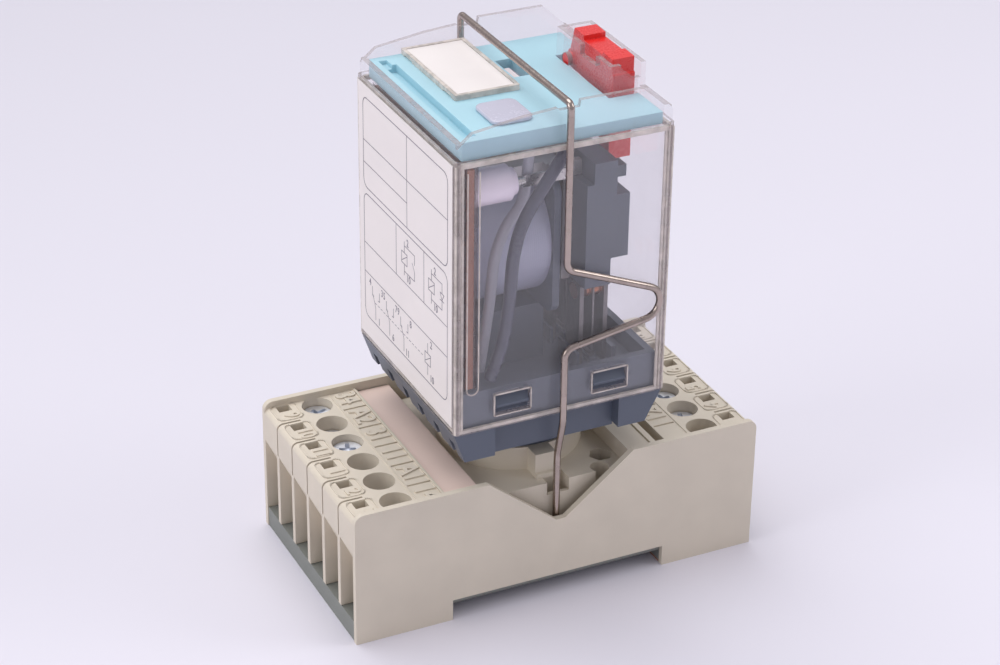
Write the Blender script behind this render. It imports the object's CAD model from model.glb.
"""Looks of a plug-in control relay in its rail socket: finishes, soft edges, print and leads
around the fixed construction, with a studio stage."""

import math

import bmesh
import bpy
from mathutils import Matrix, Vector


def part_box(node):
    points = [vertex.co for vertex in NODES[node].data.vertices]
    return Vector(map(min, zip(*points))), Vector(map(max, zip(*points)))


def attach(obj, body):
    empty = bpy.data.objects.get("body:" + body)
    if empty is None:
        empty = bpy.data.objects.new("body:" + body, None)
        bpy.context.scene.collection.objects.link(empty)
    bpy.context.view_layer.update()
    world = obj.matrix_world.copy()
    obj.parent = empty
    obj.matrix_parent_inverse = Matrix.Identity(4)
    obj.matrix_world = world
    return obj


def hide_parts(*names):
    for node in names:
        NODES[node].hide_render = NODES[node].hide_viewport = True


bl_info = {
    "name": "Control Relay",
    "version": (1, 0, 0),
    "blender": (4, 5, 0),
    "location": "View3D > Sidebar > Relay",
    "description": "Finishes and fine detail for a plug-in control relay and its socket",
    "category": "Object",
}

MM = 0.001
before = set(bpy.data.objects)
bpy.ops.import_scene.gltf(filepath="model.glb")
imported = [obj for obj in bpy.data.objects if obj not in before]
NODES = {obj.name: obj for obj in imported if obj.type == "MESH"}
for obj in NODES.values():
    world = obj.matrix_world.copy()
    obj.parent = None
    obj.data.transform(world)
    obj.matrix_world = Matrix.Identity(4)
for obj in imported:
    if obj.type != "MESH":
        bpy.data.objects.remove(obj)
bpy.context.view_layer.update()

# Fixed sizes of the socket's terminals, in millimetres
CELLS = 6
CELL_PITCH = 6.25
LEFT_NUMBERS = ("14", "A1", "11", "31", "A2", "34")
RIGHT_NUMBERS = ("", "12", "22", "21", "24", "32")
LEFT_PINS = ("3", "2", "1", "11", "10", "9")
RIGHT_PINS = ("", "4", "5", "6", "7", "8")
DECK = 21.9
# Middles and size of the windows in the cover, up from its lower edge
WINDOWS = ((-8.1, 3.8), (8.3, 3.8))
WINDOW = (5.85, 3.4)
POLE_PITCH = 9
# Printed lines stand out this much, half of it sunk in the label
PRINT_T = 0.04
# Outline of a coil's symbol round its middle, as shares of the label's width and height
COIL_BOX = ((-0.03, -0.022), (0.03, -0.022), (0.03, 0.022), (-0.03, 0.022), (-0.03, -0.022))
# Faces of clear parts that are narrower than this look like cut edges
RIM_WIDTH = 1.05


def tone(red, green, blue):
    """A screen colour from 0 to 255 as the linear colour that the shaders take."""
    parts = [c / 255 for c in (red, green, blue)]
    return tuple(c / 12.92 if c <= 0.04045 else ((c + 0.055) / 1.055) ** 2.4 for c in parts)


def solid(colour):
    """A colour with its fourth channel."""
    return (*colour[:3], 1.0)


def shade(colour, factor):
    """A colour made darker or lighter."""
    return tuple(min(1.0, c * factor) for c in colour[:3])


# ---------------------------------------------------------------- shader maths


class Flow:
    """What leaves one node, and the Math nodes that sums and products of it need."""

    def __init__(self, finish, socket):
        self.finish, self.socket = finish, socket

    def maths(self, operation, *others, clamp=False):
        """This value put through a Math node, with the others in its later inputs."""
        settings = {"operation": operation, "use_clamp": clamp}
        made = self.finish.node("ShaderNodeMath", settings, dict(enumerate((self, *others))))
        return Flow(self.finish, made.outputs[0])

    def __add__(self, other):
        return self.maths("ADD", other)

    def __sub__(self, other):
        return self.maths("SUBTRACT", other)

    def __rsub__(self, other):
        return self * -1 + other

    def __mul__(self, other):
        return self.maths("MULTIPLY", other)

    __radd__ = __add__
    __rmul__ = __mul__

    def above(self, edge, softness):
        """0 under edge, rising to 1 over the softness."""
        return (self - edge).maths("MULTIPLY", 1 / softness, clamp=True)

    def within(self, reach):
        """1 where this value is less than reach either side of 0."""
        return self.maths("ABSOLUTE").maths("LESS_THAN", reach)

    def mix(self, low, high):
        """A colour that goes from low to high as this value goes from 0 to 1."""
        colours = {6: self.finish.colour(low), 7: self.finish.colour(high)}
        made = self.finish.node(
            "ShaderNodeMix", {"data_type": "RGBA", "clamp_factor": True}, {0: self, **colours}
        )
        return Flow(self.finish, made.outputs[2])


class Finish:
    """One material and its nodes."""

    def __init__(self, name):
        self.material = bpy.data.materials.new(name)
        self.material.use_nodes = True
        self.tree = self.material.node_tree
        self.tree.nodes.clear()
        self.out = self.node("ShaderNodeOutputMaterial")
        self.place = self.node("ShaderNodeTexCoord").outputs["Object"]

    def node(self, kind, settings=None, values=None):
        made = self.tree.nodes.new(kind)
        for name, value in (settings or {}).items():
            setattr(made, name, value)
        for name, value in (values or {}).items():
            value = value.socket if isinstance(value, Flow) else value
            if isinstance(value, bpy.types.NodeSocket):
                self.tree.links.new(value, made.inputs[name])
            else:
                made.inputs[name].default_value = value
        return made

    @staticmethod
    def colour(value):
        """A link as it is, or a colour with its fourth channel."""
        return value if isinstance(value, Flow) else solid(value)

    def stretched(self, stretch):
        """Object coordinates stretched along the axes."""
        made = self.node("ShaderNodeMapping", None, {"Vector": self.place, "Scale": stretch})
        return made.outputs[0]

    def noise(self, grain, detail=2.0, stretch=(1, 1, 1)):
        """Cloudy noise whose lumps are about grain millimetres wide."""
        values = {"Vector": self.stretched(stretch), "Scale": 1 / (grain * MM), "Detail": detail}
        return Flow(self, self.node("ShaderNodeTexNoise", None, values).outputs["Fac"])

    def cells(self, grain):
        """Distance to the nearest of a set of scattered points, grain millimetres apart."""
        values = {"Vector": self.place, "Scale": 1 / (grain * MM)}
        return Flow(self, self.node("ShaderNodeTexVoronoi", None, values).outputs["Distance"])

    def axis(self, name):
        """One object coordinate, in metres."""
        made = self.node("ShaderNodeSeparateXYZ", None, {0: self.place})
        return Flow(self, made.outputs[name])

    def slant(self):
        """0 where a face looks at the viewer, rising steeply to 1 at its outline."""
        facing = self.node("ShaderNodeLayerWeight", None, {"Blend": 0.5}).outputs["Facing"]
        return Flow(self, facing).maths("POWER", 5.0)

    def relief(self, height, strength, depth):
        """A bump from a height value, depth in millimetres."""
        values = {"Height": height, "Strength": strength, "Distance": depth * MM}
        return self.node("ShaderNodeBump", None, values).outputs[0]

    def close(self, shader):
        self.tree.links.new(shader.outputs[0], self.out.inputs["Surface"])
        return self.material

    def surface(self, values):
        return self.close(self.node("ShaderNodeBsdfPrincipled", None, values))


def moulded(name, colour, roughness=0.5, grain=0.35, relief=0.25, stain=0.06, coat=0.0, tinge=None):
    """Moulded plastic: a fine spark-eroded grain, cloudy tone and a few darker specks.

    tinge gives a second colour and a function that makes its mask."""
    f = Finish(name)
    cloud = f.noise(9, 3).above(0.3, 0.4)
    speck = f.cells(1.6).maths("LESS_THAN", 0.035) * f.noise(4).above(0.52, 0.05)
    fine = f.noise(grain, 3)
    base = cloud.mix(shade(colour, 1 - stain), shade(colour, 1 + stain * 0.6))
    base = (speck * 0.35).mix(base, shade(colour, 0.45))
    if tinge:
        base = tinge[1](f).mix(base, tinge[0])
    return f.surface({
        "Base Color": base,
        "Roughness": roughness + (fine - 0.5) * 0.16 + (cloud - 0.5) * 0.08,
        "Normal": f.relief(fine, relief, 0.03),
        "Coat Weight": coat,
        "Coat Roughness": 0.12,
    })


def metal(name, colour, roughness=0.28, streak=(1, 1, 1), grain=0.4, dull=0.25):
    """Plated or drawn metal, with streaks, dull patches and fine scratches."""
    f = Finish(name)
    streaks = f.noise(grain, 4, streak)
    patches = f.noise(3.5, 3).above(0.42, 0.25)
    base = patches.mix(shade(colour, 1 - dull), colour)
    return f.surface({
        "Base Color": streaks.mix(base, shade(colour, 1.08)),
        "Metallic": 1.0,
        "Roughness": roughness + (streaks - 0.5) * 0.14 + (1 - patches) * 0.08,
        "Normal": f.relief(streaks, 0.12, 0.012),
    })


def clear_plastic(name, tint, haze=0.045):
    """Clear moulded plastic: see-through, faintly hazy, and more of a mirror at a slant."""
    f = Finish(name)
    smear = f.noise(7, 3).above(0.48, 0.3)
    hair = f.noise(0.5, 2, (1, 1, 0.05)).above(0.7, 0.04)
    slant = f.slant()
    milk = f.node("ShaderNodeBsdfPrincipled", None, {
        "Base Color": smear.mix(tint, shade(tint, 0.94)),
        "Roughness": 0.3 + smear * 0.2,
    })
    mirror = f.node("ShaderNodeBsdfAnisotropic", None, {"Color": solid(tint), "Roughness": 0.05})
    through = f.node("ShaderNodeBsdfTransparent", None, {"Color": solid((0.99, 0.985, 0.99))})
    hazy = f.node("ShaderNodeMixShader", None, {
        0: haze + smear * 0.012 + hair * 0.05, 1: through.outputs[0], 2: milk.outputs[0]})
    return f.close(f.node("ShaderNodeMixShader", None, {
        0: 0.03 + slant * 0.55, 1: hazy.outputs[0], 2: mirror.outputs[0]}))


def clear_rim(name, colour, cover):
    """The pale look of a clear wall's edge, which gathers light; cover is how much it hides."""
    f = Finish(name)
    glint = f.noise(2.4, 3).above(0.35, 0.35)
    body = f.node("ShaderNodeBsdfPrincipled", None, {
        "Base Color": glint.mix(shade(colour, 0.8), colour),
        "Roughness": 0.22 + glint * 0.15,
    })
    through = f.node("ShaderNodeBsdfTransparent", None, {"Color": solid((0.98, 0.97, 0.97))})
    return f.close(f.node("ShaderNodeMixShader", None, {
        0: cover + glint * 0.2, 1: through.outputs[0], 2: body.outputs[0]}))


# ---------------------------------------------------------------- mesh tools


def piece(name, mesh, material, body, smooth=35.0):
    """An object from a bmesh, with smooth stretches and sharp edges, riding on its body."""
    data = bpy.data.meshes.new(name)
    for face in mesh.faces:
        face.smooth = True
    for edge in mesh.edges:
        edge.smooth = len(edge.link_faces) == 2 and edge.calc_face_angle(0) < math.radians(smooth)
    mesh.to_mesh(data)
    mesh.free()
    made = bpy.data.objects.new(name, data)
    bpy.context.scene.collection.objects.link(made)
    data.materials.append(material)
    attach(made, body)
    return made


def even_shading(made):
    """Keeps large flat faces flat next to rounded edges."""
    weighted = made.modifiers.new("even_shading", "WEIGHTED_NORMAL")
    weighted.keep_sharp = True
    return made


def softened(node, name, material, body, radius, segments=2, rim=None):
    """A copy of a node's mesh with its sharp edges rounded, which stands for the node.

    rim is the material of its rounded edges and of faces that are no wider than a wall."""
    mesh = bmesh.new()
    mesh.from_mesh(NODES[node].data)
    bmesh.ops.remove_doubles(mesh, verts=mesh.verts, dist=0.002 * MM)
    bmesh.ops.dissolve_limit(
        mesh, angle_limit=math.radians(0.6), verts=mesh.verts, edges=mesh.edges
    )
    sharp = [
        e for e in mesh.edges
        if len(e.link_faces) == 2 and e.calc_face_angle(0) > math.radians(32)
    ]
    rounded = bmesh.ops.bevel(
        mesh, geom=sharp, offset=radius * MM, offset_type="OFFSET", segments=segments,
        profile=0.5, affect="EDGES", clamp_overlap=True, material=-1,
    )["faces"]
    if rim:
        narrow = [f for f in mesh.faces if 2 * f.calc_area() < RIM_WIDTH * MM * f.calc_perimeter()]
        for face in {*rounded, *narrow}:
            face.material_index = 1
    made = even_shading(piece(name, mesh, material, body, 42))
    if rim:
        made.data.materials.append(rim)
    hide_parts(node)
    return made


def dress(material, *names):
    """Gives CAD nodes a material."""
    for name in names:
        slots = NODES[name].data.materials
        slots.clear()
        slots.append(material)


def box_into(mesh, low, high):
    """Adds a block between two corners, in millimetres, and gives back its vertices."""
    low, high = Vector(low), Vector(high)
    middle = Matrix.Translation((low + high) / 2 * MM)
    size = Matrix.Diagonal((*((high - low) * MM), 1))
    return bmesh.ops.create_cube(mesh, size=1, matrix=middle @ size)["verts"]


def flat_place(at, across, up):
    """Where a drawing in millimetres lies: its origin and the directions of its x and y."""
    across, up = Vector(across), Vector(up)
    turn = Matrix((across, up, across.cross(up))).transposed().to_4x4()
    return Matrix.Translation(Vector(at) * MM) @ turn @ Matrix.Scale(MM, 4)


def letters_into(mesh, text, place, size, height, bold=0.0, squeeze=1.0):
    """Adds raised letters centred on the origin of a place, in millimetres."""
    curve = bpy.data.curves.new("letters", "FONT")
    curve.body, curve.size, curve.extrude, curve.offset = text, size, height / 2, bold
    curve.align_x, curve.align_y, curve.resolution_u = "CENTER", "CENTER", 3
    holder = bpy.data.objects.new("letters", curve)
    bpy.context.scene.collection.objects.link(holder)
    bpy.context.view_layer.update()
    data = bpy.data.meshes.new_from_object(
        holder.evaluated_get(bpy.context.evaluated_depsgraph_get()))
    data.transform(place @ Matrix.Diagonal((squeeze, 1, 1, 1)))
    mesh.from_mesh(data)
    bpy.data.objects.remove(holder)
    bpy.data.curves.remove(curve)
    bpy.data.meshes.remove(data)


def strokes_into(mesh, points, width, height, place):
    """Adds a raised line through the points of a drawing, in millimetres."""
    for start, end in zip(points, points[1:]):
        start, end = Vector((*start, 0)), Vector((*end, 0))
        along = end - start
        turn = Matrix.Rotation(math.atan2(along.y, along.x), 4, "Z")
        size = Matrix.Diagonal((along.length + width * 0.8, width, height, 1))
        middle = Matrix.Translation((start + end) / 2)
        bmesh.ops.create_cube(mesh, size=1, matrix=place @ middle @ turn @ size)


def rounded_frame(low, high, radius, steps=4):
    """Points round a rectangle with round corners, back to the first."""
    points = []
    for corner, (sx, sy) in enumerate(((1, 1), (-1, 1), (-1, -1), (1, -1))):
        x = (high[0] if sx > 0 else low[0]) - sx * radius
        y = (high[1] if sy > 0 else low[1]) - sy * radius
        for k in range(steps + 1):
            angle = math.pi / 2 * (corner + k / steps)
            points.append((x + radius * math.cos(angle), y + radius * math.sin(angle)))
    return [*points, points[0]]


def smooth_route(points, steps):
    """Points on a smooth curve through the given ones."""
    ends = [points[0], *points, points[-1]]
    route = []
    for before, start, end, after in zip(ends, ends[1:], ends[2:], ends[3:]):
        for k in range(steps):
            t = k / steps
            route.append(0.5 * (
                2 * start + (end - before) * t + (2 * before - 5 * start + 4 * end - after) * t ** 2
                + (3 * start - before - 3 * end + after) * t ** 3))
    return [*route, points[-1]]


def tube(name, points, radius, material, body):
    """A round lead along a smooth route, in millimetres."""
    mesh = bmesh.new()
    route = smooth_route([Vector(p) for p in points], 8)
    sides = 16
    rings = []
    for i, centre in enumerate(route):
        ahead = (route[min(i + 1, len(route) - 1)] - route[max(i - 1, 0)]).normalized()
        turn = ahead.to_track_quat("Z", "Y").to_matrix().to_4x4()
        place = Matrix.Translation(centre * MM) @ turn
        made = bmesh.ops.create_circle(mesh, segments=sides, radius=radius * MM, matrix=place)
        rings.append(made["verts"])
    for first, second in zip(rings, rings[1:]):
        edges = [e for ring in (first, second) for v in ring for e in v.link_edges
                 if e.other_vert(v) in ring]
        bmesh.ops.bridge_loops(mesh, edges=list(set(edges)))
    for ring in (rings[0], rings[-1]):
        mesh.faces.new(ring)
    bmesh.ops.recalc_face_normals(mesh, faces=mesh.faces)
    return piece(name, mesh, material, body, 60)


# ---------------------------------------------------------------- sizes and colours


def swatch(name, description, default):
    """A colour that the panel lists."""
    return bpy.props.FloatVectorProperty(
        name=name, description=description, subtype="COLOR", size=3, min=0, max=1, default=default)


class SocketLooks(bpy.types.PropertyGroup):
    housing: swatch("Housing", "Warm beige of the socket's housing", tone(217, 207, 190))
    plate: swatch("Base plate", "Grey of the plate under the socket", tone(132, 135, 130))
    strip: swatch("Marker strip", "Pinkish strip along the left terminals", tone(240, 216, 204))
    clip: swatch("Rail clip", "Orange-brown of the sprung clip", tone(186, 104, 66))
    edge: bpy.props.FloatProperty(
        name="Edge radius", description="Rounding of the moulded edges, in millimetres",
        default=0.16, min=0.02, max=0.3)
    letter: bpy.props.FloatProperty(
        name="Letter height", description="How tall the raised numbers are, in millimetres",
        default=3.3, min=1, max=4)


class RelayLooks(bpy.types.PropertyGroup):
    slate: swatch("Slate", "Blue-grey of the base and the carrier", tone(92, 99, 113))
    turquoise: swatch("Top plate", "Pale turquoise of the top plate", tone(176, 216, 228))
    lever: swatch("Test lever", "Red of the test lever", tone(232, 44, 40))
    tint: swatch("Clear parts", "Tint of the clear cover", tone(250, 249, 250))
    paper: swatch("Label", "Paper of the side label and the card", tone(238, 231, 228))
    ink: swatch("Print", "Grey of the printed lines", tone(124, 118, 130))
    wire: swatch("Wire", "Steel of the retaining bail", tone(178, 164, 156))
    rim: swatch("Clear edges", "Grey look of the clear walls' edges", tone(182, 172, 172))
    glint: swatch("Clear corners", "Pale look of light caught in the clear walls", tone(247, 236, 226))
    copper: swatch("Contacts", "Copper of the contact buttons", tone(222, 146, 112))
    edge: bpy.props.FloatProperty(
        name="Edge radius", description="Rounding of the relay's edges, in millimetres",
        default=0.14, min=0.02, max=0.3)
    line: bpy.props.FloatProperty(
        name="Line width", description="Width of the label's printed lines, in millimetres",
        default=0.12, min=0.05, max=0.5)


class StageLooks(bpy.types.PropertyGroup):
    floor: swatch("Floor", "Pale lavender of the floor", tone(236, 233, 243))
    key: bpy.props.FloatProperty(
        name="Key lamp", description="Power of the large lamp overhead", default=6.4, min=0, unit="POWER")
    fill: bpy.props.FloatProperty(
        name="Fill", description="Strength of the light from all round", default=0.56, min=0, max=2)
    azimuth: bpy.props.FloatProperty(
        name="View azimuth", description="Camera's turn about the upright, in degrees",
        default=-25.97)
    elevation: bpy.props.FloatProperty(
        name="View elevation", description="Camera's height over the floor, in degrees",
        default=28.77)
    distance: bpy.props.FloatProperty(
        name="View distance", description="From the camera to the look point",
        default=0.43029, min=0.1, unit="LENGTH")


# ---------------------------------------------------------------- stage


class RELAY_OT_stage(bpy.types.Operator):
    """Floor, lamps and camera"""

    bl_idname = "relay.stage"
    bl_label = "Stage"

    def execute(self, context):
        looks = context.scene.relay_stage
        scene = context.scene
        scene.view_settings.view_transform = "Standard"
        scene.cycles.transparent_max_bounces = 24
        mesh = bmesh.new()
        bmesh.ops.create_grid(mesh, x_segments=1, y_segments=1, size=3)
        data = bpy.data.meshes.new("floor")
        mesh.to_mesh(data)
        mesh.free()
        floor = bpy.data.objects.new("floor", data)
        scene.collection.objects.link(floor)
        f = Finish("floor_paper")
        sweep = (f.axis("X") * 0.16 - f.axis("Y") * 0.64).above(-0.17, 0.26)
        cloud = sweep * 0.92 + f.noise(160, 2) * 0.08
        data.materials.append(f.surface({
            "Base Color": cloud.mix(shade(looks.floor, 0.76), looks.floor),
            "Roughness": 0.75 + (f.noise(4) - 0.5) * 0.1,
            "Specular IOR Level": 0.2,
        }))

        world = bpy.data.worlds.new("studio")
        scene.world = world
        world.use_nodes = True
        world.node_tree.nodes["Background"].inputs["Color"].default_value = solid(tone(238, 236, 245))
        world.node_tree.nodes["Background"].inputs["Strength"].default_value = looks.fill

        self.lamp(scene, "key", (-0.1, 0.34, 0.95), 1.0, looks.key)
        self.lamp(scene, "side", (0.75, -0.35, 0.55), 0.5, looks.key * 0.26)
        self.lamp(scene, "left", (-0.85, -0.05, 0.4), 0.5, looks.key * 0.3)
        self.camera(scene, looks)
        return {"FINISHED"}

    @staticmethod
    def lamp(scene, name, at, size, power):
        data = bpy.data.lights.new(name, "AREA")
        data.shape, data.size, data.energy = "DISK", size, power
        lamp = bpy.data.objects.new(name, data)
        scene.collection.objects.link(lamp)
        lamp.location = at
        aim = Vector((0, 0, 0.03)) - lamp.location
        lamp.rotation_euler = aim.to_track_quat("-Z", "Y").to_euler()

    @staticmethod
    def camera(scene, looks):
        azimuth, elevation = math.radians(looks.azimuth), math.radians(looks.elevation)
        roll = math.radians(0.78)
        back = Vector((
            math.sin(azimuth) * math.cos(elevation), -math.cos(azimuth) * math.cos(elevation),
            math.sin(elevation)))
        right = Vector((math.cos(azimuth), math.sin(azimuth), 0))
        up = back.cross(right)
        right, up = (
            right * math.cos(roll) + up * math.sin(roll), up * math.cos(roll) - right * math.sin(roll))
        data = bpy.data.cameras.new("camera")
        data.sensor_width, data.lens = 36, 95.72
        camera = bpy.data.objects.new("camera", data)
        scene.collection.objects.link(camera)
        look_point = Vector((4.26, 12.19, 30.0)) * MM
        turn = Matrix((right, up, back)).transposed().to_4x4()
        camera.matrix_world = Matrix.Translation(look_point + back * looks.distance) @ turn
        scene.camera = camera


# ---------------------------------------------------------------- socket


class RELAY_OT_socket(bpy.types.Operator):
    """Housing, base plate and marker strip"""

    bl_idname = "relay.socket"
    bl_label = "Socket"

    def execute(self, context):
        looks = context.scene.relay_socket
        beige = moulded("housing_plastic", looks.housing, 0.52, stain=0.05)
        grey = moulded("plate_plastic", looks.plate, 0.6, relief=0.35, tinge=(
            looks.clip, lambda f: f.axis("Z").maths("LESS_THAN", 0.4 * MM) * f.axis("X").above(0, 2 * MM) * 0.5))
        strip = moulded("strip_plastic", looks.strip, 0.38, relief=0.1, stain=0.04)
        softened("socket_housing", "housing", beige, "socket", looks.edge)
        softened("socket_base_plate", "base_plate", grey, "socket", looks.edge)
        softened("marker_strip", "strip", strip, "socket", looks.edge)
        self.numbers(looks, beige)
        return {"FINISHED"}

    @staticmethod
    def numbers(looks, material):
        """Raised terminal and pin numbers, and the frames round the test holes."""
        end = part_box("socket_housing")[1].x / MM
        size = looks.letter / 0.7
        mesh = bmesh.new()
        for side, numbers, pins in ((-1, LEFT_NUMBERS, LEFT_PINS), (1, RIGHT_NUMBERS, RIGHT_PINS)):
            across, up = (0, side, 0), (-side, 0, 0)
            for cell in range(CELLS):
                y = (cell - (CELLS - 1) / 2) * CELL_PITCH
                field = flat_place((side * (end - 13.2), y, DECK), across, up)
                letters_into(mesh, numbers[cell], field, size, 0.5, 0.07, 0.8)
                letters_into(mesh, pins[cell], flat_place(
                    (side * (end - 3.2), y - 1.2, DECK), across, up), size * 0.72, 0.4, 0.05, 0.85)
                hole = flat_place((side * (end - 2.9), y, DECK), across, up)
                strokes_into(mesh, rounded_frame((-2.35, -2.1), (2.35, 2.1), 0.8), 0.18, 0.25, hole)
            for x, width, height in ((19.15, 0.3, 0.5), (23.4, 0.16, 0.25)):
                ridge = flat_place((side * x, 0, DECK), (0, 1, 0), (-1, 0, 0))
                strokes_into(mesh, [(-17.8, 0), (17.8, 0)], width, height, ridge)
        piece("terminal_numbers", mesh, material, "socket")


class RELAY_OT_terminals(bpy.types.Operator):
    """Terminal screws, clamp cages and contacts"""

    bl_idname = "relay.terminals"
    bl_label = "Terminals"

    def execute(self, context):
        zinc = metal("zinc", tone(232, 236, 244), 0.36, grain=0.6, dull=0.12)
        cage = metal("cage_steel", tone(196, 190, 172), 0.38)
        copper = metal("contact_copper", tone(214, 140, 104), 0.25)
        softened("terminal_screws", "screws", zinc, "socket", 0.12)
        dress(cage, "clamp_cages")
        dress(copper, *[n for n in NODES if n.startswith("socket_contact_")])
        return {"FINISHED"}


class RELAY_OT_rail_clip(bpy.types.Operator):
    """Sprung clip that holds the rail"""

    bl_idname = "relay.rail_clip"
    bl_label = "Rail clip"

    def execute(self, context):
        looks = context.scene.relay_socket
        clip = moulded("clip_plastic", looks.clip, 0.45)
        softened("rail_latch", "rail_clip", clip, "latch", 0.12)
        dress(metal("spring_steel", tone(176, 172, 168), 0.3), "latch_spring")
        return {"FINISHED"}


class RELAY_OT_bail(bpy.types.Operator):
    """Wire bail over the relay"""

    bl_idname = "relay.bail"
    bl_label = "Retaining bail"

    def execute(self, context):
        looks = context.scene.relay_body
        wire = metal("bail_wire", looks.wire, 0.2, streak=(1, 1, 0.2), grain=0.9, dull=0.25)
        dress(wire, "retaining_bail")
        return {"FINISHED"}


# ---------------------------------------------------------------- relay


class RELAY_OT_cover(bpy.types.Operator):
    """Clear cover and the clear holder of the card"""

    bl_idname = "relay.cover"
    bl_label = "Clear cover"

    def execute(self, context):
        looks = context.scene.relay_body
        clear = clear_plastic("clear_cover", looks.tint)
        rim = clear_rim("clear_edge", looks.rim, 0.45)
        glint = clear_rim("clear_glint", looks.glint, 0.62)
        softened("relay_cover", "cover", clear, "relay", 0.16, rim=rim)
        softened("marker_holder", "card_holder", clear, "relay", 0.1, rim=glint)
        self.glints(glint)
        self.outlines(glint)
        return {"FINISHED"}

    @staticmethod
    def glints(material):
        """Pale bars inside the walls, where corners and edges gather light."""
        low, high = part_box("relay_cover")
        x, y, z = high.x / MM, high.y / MM, low.z / MM
        label_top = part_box("side_label")[1].z / MM
        mesh = bmesh.new()

        def bar(*spans):
            box_into(mesh, [min(span) for span in spans], [max(span) for span in spans])

        for sx in (-1, 1):
            for sy in (-1, 1):
                for near, far in ((0.08, 0.32), (0.62, 0.95)):
                    bar((sx * (x - far), sx * (x - near)), (sy * (y - 0.85), sy * (y - 0.15)),
                        (z + 0.1, label_top))
                bar((sx * (x - 1.5), sx * (x - 1.1)), (sy * (y - 0.6), sy * (y - 0.3)),
                    (z + 0.1, label_top))
            for foot, height in ((z + 0.05, 0.5), (label_top - 0.5, 0.75)):
                bar((sx * (x - 0.75), sx * (x - 0.25)), (1 - y, y - 1), (foot, foot + height))
                bar((1 - x, x - 1), (sx * (y - 0.75), sx * (y - 0.25)), (foot, foot + height))
        piece("cover_glints", mesh, material, "relay")

    @staticmethod
    def outlines(material):
        """Bright outlines of the snap windows and of the slots that hold the circuit board."""
        low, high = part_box("relay_cover")
        board_low, board_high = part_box("circuit_board")
        middle = (board_low.x + board_high.x) / 2 / MM
        half = (board_high.x - board_low.x) / 2 / MM + 0.35
        foot, top = board_low.z / MM - 0.4, board_high.z / MM
        bend = [(middle - half * math.cos(math.pi * k / 8), foot + half * (1 - math.sin(math.pi * k / 8)))
                for k in range(9)]
        mesh = bmesh.new()
        for side in (-1, 1):
            wall = flat_place((0, side * (high.y / MM - 0.12), 0), (-side, 0, 0), (0, 0, 1))
            slot = [(middle - half, top), *bend, (middle + half, top)]
            strokes_into(mesh, [(-side * u, v) for u, v in slot], 0.2, 0.1, wall)
            for x, z in WINDOWS:
                z += low.z / MM
                half_w, half_h = WINDOW[0] / 2 + 0.12, WINDOW[1] / 2 + 0.12
                ring = rounded_frame((x - half_w, z - half_h), (x + half_w, z + half_h), 0.2)
                strokes_into(mesh, [(-side * u, v) for u, v in ring], 0.22, 0.1, wall)
        piece("cover_outlines", mesh, material, "relay")


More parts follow.
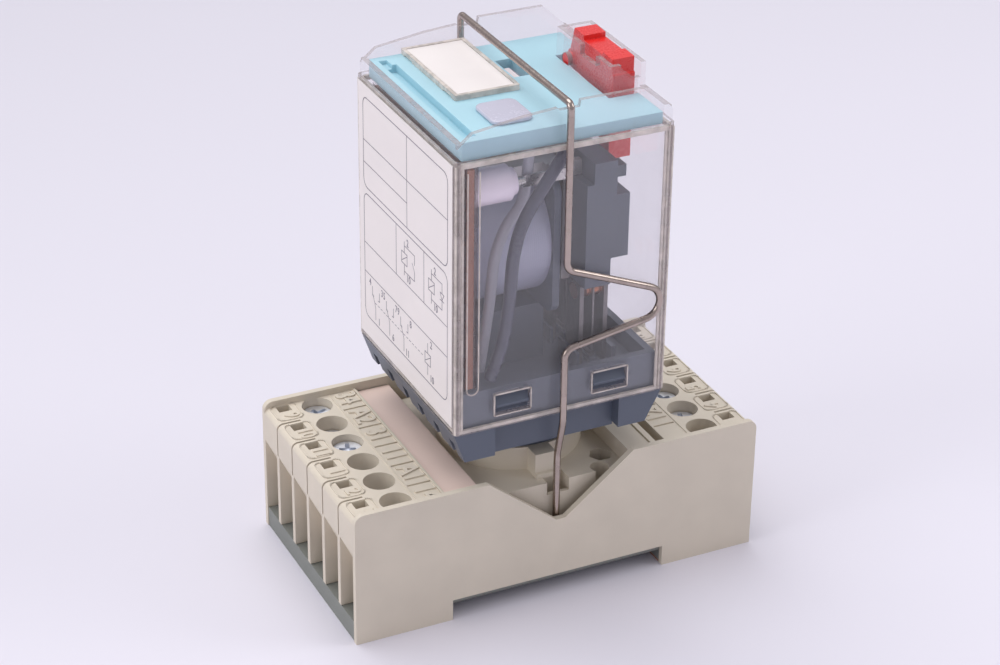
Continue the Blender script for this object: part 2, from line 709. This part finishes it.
class RELAY_OT_label(bpy.types.Operator):
    """Side label with its table lines and wiring symbols"""

    bl_idname = "relay.label"
    bl_label = "Side label"

    def execute(self, context):
        looks = context.scene.relay_body
        paper = moulded("label_film", looks.paper, 0.42, 0.5, 0.06, 0.02)
        dress(paper, "side_label", "marker_card")
        self.table(looks)
        return {"FINISHED"}

    @staticmethod
    def table(looks):
        """Printed frames, table lines, contact symbols and terminal numbers."""
        low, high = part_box("side_label")
        wide, tall = (high.y - low.y) / MM, (high.z - low.z) / MM
        place = flat_place((low.x / MM, high.y / MM, low.z / MM), (0, -1, 0), (0, 0, 1))
        mesh = bmesh.new()

        def at(u, v):
            return u * wide, (1 - v) * tall

        def line(*points, width=looks.line):
            strokes_into(mesh, [at(*p) for p in points], width, PRINT_T, place)

        def number(text, u, v, size=1.7):
            spot = place @ Matrix.Translation((*at(u, v), 0))
            letters_into(mesh, text, spot, size, PRINT_T, 0.02, 0.85)

        for top, foot in ((0.045, 0.395), (0.42, 0.918)):
            ring = rounded_frame(at(0.05, foot), at(0.955, top), 1.4)
            strokes_into(mesh, ring, looks.line * 1.2, PRINT_T, place)
        line((0.05, 0.213), (0.955, 0.213))
        line((0.05, 0.3), (0.53, 0.3))
        line((0.53, 0.045), (0.53, 0.395))
        line((0.05, 0.62), (0.955, 0.62))
        line((0.05, 0.738), (0.955, 0.738))
        line((0.41, 0.42), (0.41, 0.62))
        line((0.71, 0.42), (0.71, 0.62))

        # A coil is a box with a slanted bar, between its two terminals
        for u, top, foot in ((0.5, 0.46, 0.59), (0.79, 0.46, 0.59), (0.75, 0.765, 0.89)):
            middle = (top + foot) / 2
            line((u, top), (u, middle - 0.022))
            line((u, middle + 0.022), (u, foot))
            line(*[(u + du, middle + dv) for du, dv in COIL_BOX])
            line((u - 0.03, middle + 0.016), (u + 0.03, middle - 0.016))
            number("2", u + 0.035, top - 0.004)
            number("10", u + 0.045, foot + 0.004)
        # Beside two of the coils, a branch with a test switch or a diode
        for u in (0.5, 0.79):
            line((u, 0.475), (u + 0.11, 0.475), (u + 0.11, 0.512))
            line((u, 0.575), (u + 0.11, 0.575), (u + 0.11, 0.54))
        line((0.61, 0.54), (0.585, 0.512))
        line((0.88, 0.512), (0.92, 0.512), (0.9, 0.538), (0.88, 0.512))
        line((0.88, 0.54), (0.92, 0.54))
        # Three change-over contacts, with the dashed link that moves them
        for u, numbers in ((0.17, "143"), (0.33, "657"), (0.49, ("11", "9", "8"))):
            line((u - 0.035, 0.775), (u - 0.035, 0.81), (u - 0.02, 0.81))
            line((u + 0.045, 0.775), (u + 0.045, 0.81), (u + 0.03, 0.81))
            line((u, 0.9), (u, 0.85), (u - 0.03, 0.806))
            for text, du, v in zip((numbers[1], numbers[2], numbers[0]), (-0.06, 0.075, 0.04), (0.765, 0.765, 0.895)):
                number(text, u + du, v)
        for k in range(17):
            u = 0.165 + k * 0.032
            line((u, 0.832), (u + 0.018, 0.832), width=looks.line * 0.8)
        ink = moulded("label_ink", looks.ink, 0.5, 0.5, 0.05, 0.12)
        piece("label_print", mesh, ink, "relay")


class RELAY_OT_top(bpy.types.Operator):
    """Top plate, lens and test lever"""

    bl_idname = "relay.top"
    bl_label = "Top"

    def execute(self, context):
        looks = context.scene.relay_body
        turquoise = moulded("turquoise_plastic", looks.turquoise, 0.42, stain=0.03)
        red = moulded("red_plastic", looks.lever, 0.3, relief=0.08, stain=0.04, coat=0.4)
        lens = moulded("lens_plastic", tone(200, 198, 214), 0.25, relief=0.12, stain=0.05, coat=0.5)
        softened("top_plate", "top_panel", turquoise, "relay", 0.12)
        softened("test_lever", "lever", red, "lever", 0.2)
        softened("indicator_lens", "lens", lens, "relay", 0.3, 4)
        dress(moulded("flag_plastic", tone(238, 225, 226), 0.4), "position_flag")
        return {"FINISHED"}


class RELAY_OT_base(bpy.types.Operator):
    """Base with its plug pins"""

    bl_idname = "relay.base"
    bl_label = "Base"

    def execute(self, context):
        looks = context.scene.relay_body
        slate = moulded("slate_plastic", looks.slate, 0.46, stain=0.05)
        softened("relay_base", "base", slate, "relay", looks.edge)
        dress(slate, "coil_bobbin")
        softened("contact_carrier", "carrier", slate, "armature_set", looks.edge)
        dress(metal("pin_plating", tone(205, 200, 190), 0.24),
              *[n for n in NODES if n.startswith("plug_pin_")])
        return {"FINISHED"}


class RELAY_OT_coil(bpy.types.Operator):
    """Coil, magnet frame and armature"""

    bl_idname = "relay.coil"
    bl_label = "Coil"

    def execute(self, context):
        dress(self.tape(), "coil_winding")
        steel = metal("frame_steel", tone(178, 176, 176), 0.34)
        dress(steel, "coil_core", "yoke", "armature")
        dress(metal("return_spring_bronze", tone(205, 184, 142), 0.3), "return_spring")
        return {"FINISHED"}

    @staticmethod
    def tape():
        """Grey tape over the turns of the coil, which show through as fine ridges."""
        f = Finish("winding_tape")
        turns = (f.axis("X") * (2 * math.pi / (0.35 * MM))).maths("SINE")
        weave = f.noise(0.4, 3)
        cloud = f.noise(5, 2)
        colour = tone(186, 188, 210)
        return f.surface({
            "Base Color": cloud.mix(shade(colour, 0.85), shade(colour, 1.08)),
            "Roughness": 0.36 + (weave - 0.5) * 0.2,
            "Normal": f.relief(turns * 0.5 + weave, 0.3, 0.03),
            "Coat Weight": 0.3,
        })


class RELAY_OT_contacts(bpy.types.Operator):
    """Moving and fixed contacts"""

    bl_idname = "relay.contacts"
    bl_label = "Contacts"

    def execute(self, context):
        names = [n for n in NODES if "_contact_" in n and not n.startswith("socket_")]
        dress(self.contact_metal(context.scene.relay_body.copper), *names)
        return {"FINISHED"}

    @staticmethod
    def contact_metal(copper):
        """Dull spring strip, with a copper button at each of its contact points."""
        f = Finish("relay_contacts")
        button_z = (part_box("coil_core")[0].z + 5.5 * MM) - 8.5 * MM
        height = f.axis("Z") - button_z
        sideways = f.axis("Y").maths("WRAP", POLE_PITCH / 2 * MM, -POLE_PITCH / 2 * MM)
        button = (height * height + sideways * sideways).maths("LESS_THAN", (1.35 * MM) ** 2)
        streaks = f.noise(0.5, 3, (1, 1, 0.4))
        strip = streaks.mix(tone(104, 102, 106), tone(138, 132, 130))
        worn = f.noise(0.8, 3).mix(shade(copper, 0.8), copper)
        return f.surface({
            "Base Color": button.mix(strip, worn),
            "Metallic": 0.9,
            "Roughness": 0.34 - button * 0.1 + (streaks - 0.5) * 0.14,
        })


class RELAY_OT_electrics(bpy.types.Operator):
    """Circuit board, lamp and leads"""

    bl_idname = "relay.electrics"
    bl_label = "Electrics"

    def execute(self, context):
        dress(self.board(), "circuit_board")
        lamp = moulded("lamp_glass", tone(250, 238, 252), 0.3, relief=0.1, stain=0.08, coat=0.6)
        dress(lamp, "lamp")
        dress(metal("strap_tin", tone(212, 208, 206), 0.22), "lamp_leads")
        coil_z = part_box("coil_core")[0].z / MM + 5.5
        dark = moulded("dark_sleeve", tone(62, 64, 86), 0.3, relief=0.05, stain=0.1, coat=0.4)
        light = moulded("light_sleeve", tone(186, 186, 198), 0.3, relief=0.05, stain=0.08, coat=0.4)
        dark_route = [(1.6, -15.2, 19), (-1.5, -15.2, 14.6), (-5.4, -15.2, 8.5), (-7, -15.2, 3),
                      (-7.6, -15.2, -4), (-8.6, -15.2, -11), (-10.6, -15, -17)]
        light_route = [(-3, -11.9, 19), (-4, -11.9, 10.5), (-6.9, -11.9, 6), (-8.6, -11.9, 1),
                       (-9.3, -11.9, -6), (-10.9, -11.9, -17)]
        for name, node, route, radius, sleeve, slot in (
            ("dark_lead", "lead_dark", dark_route, 0.98, dark, "lead_dark_sleeve"),
            ("light_lead", "lead_light", light_route, 0.85, light, "lead_light_sleeve"),
        ):
            placed = [(x, y, z + coil_z) for x, y, z in route]
            made = tube(name, placed, radius, sleeve, "relay")
            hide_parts(node)
        return {"FINISHED"}

    @staticmethod
    def board():
        """Cut edge of a brown laminate, with pale fibres."""
        f = Finish("board_laminate")
        fibre = f.noise(0.3, 4, (1, 1, 0.4))
        colour = tone(168, 112, 88)
        return f.surface({
            "Base Color": fibre.mix(shade(colour, 0.7), shade(colour, 1.25)),
            "Roughness": 0.62 + (fibre - 0.5) * 0.2,
            "Normal": f.relief(fibre, 0.4, 0.05),
        })


class RELAY_PT_panel(bpy.types.Panel):
    """Lists the sizes, colours and steps"""

    bl_idname = "RELAY_PT_panel"
    bl_label = "Control Relay"
    bl_space_type = "VIEW_3D"
    bl_region_type = "UI"
    bl_category = "Relay"

    def draw(self, context):
        for group in ("relay_socket", "relay_body", "relay_stage"):
            looks = getattr(context.scene, group)
            column = self.layout.column()
            for name in looks.bl_rna.properties.keys():
                if name not in {"rna_type", "name"}:
                    column.prop(looks, name)
        for step in STEPS:
            self.layout.operator(step.bl_idname)


GROUPS = {"relay_socket": SocketLooks, "relay_body": RelayLooks, "relay_stage": StageLooks}
STEPS = (
    RELAY_OT_stage, RELAY_OT_socket, RELAY_OT_terminals, RELAY_OT_rail_clip, RELAY_OT_bail,
    RELAY_OT_cover, RELAY_OT_label, RELAY_OT_top, RELAY_OT_base, RELAY_OT_coil,
    RELAY_OT_contacts, RELAY_OT_electrics,
)


def register():
    for made in (*GROUPS.values(), *STEPS, RELAY_PT_panel):
        bpy.utils.register_class(made)
    for name, group in GROUPS.items():
        setattr(bpy.types.Scene, name, bpy.props.PointerProperty(type=group))


def unregister():
    for name in GROUPS:
        delattr(bpy.types.Scene, name)
    for made in (RELAY_PT_panel, *reversed(STEPS), *GROUPS.values()):
        bpy.utils.unregister_class(made)


def main():
    register()
    for step in STEPS:
        getattr(bpy.ops.relay, step.bl_idname.split(".")[1])()


if __name__ == "__main__":
    main()
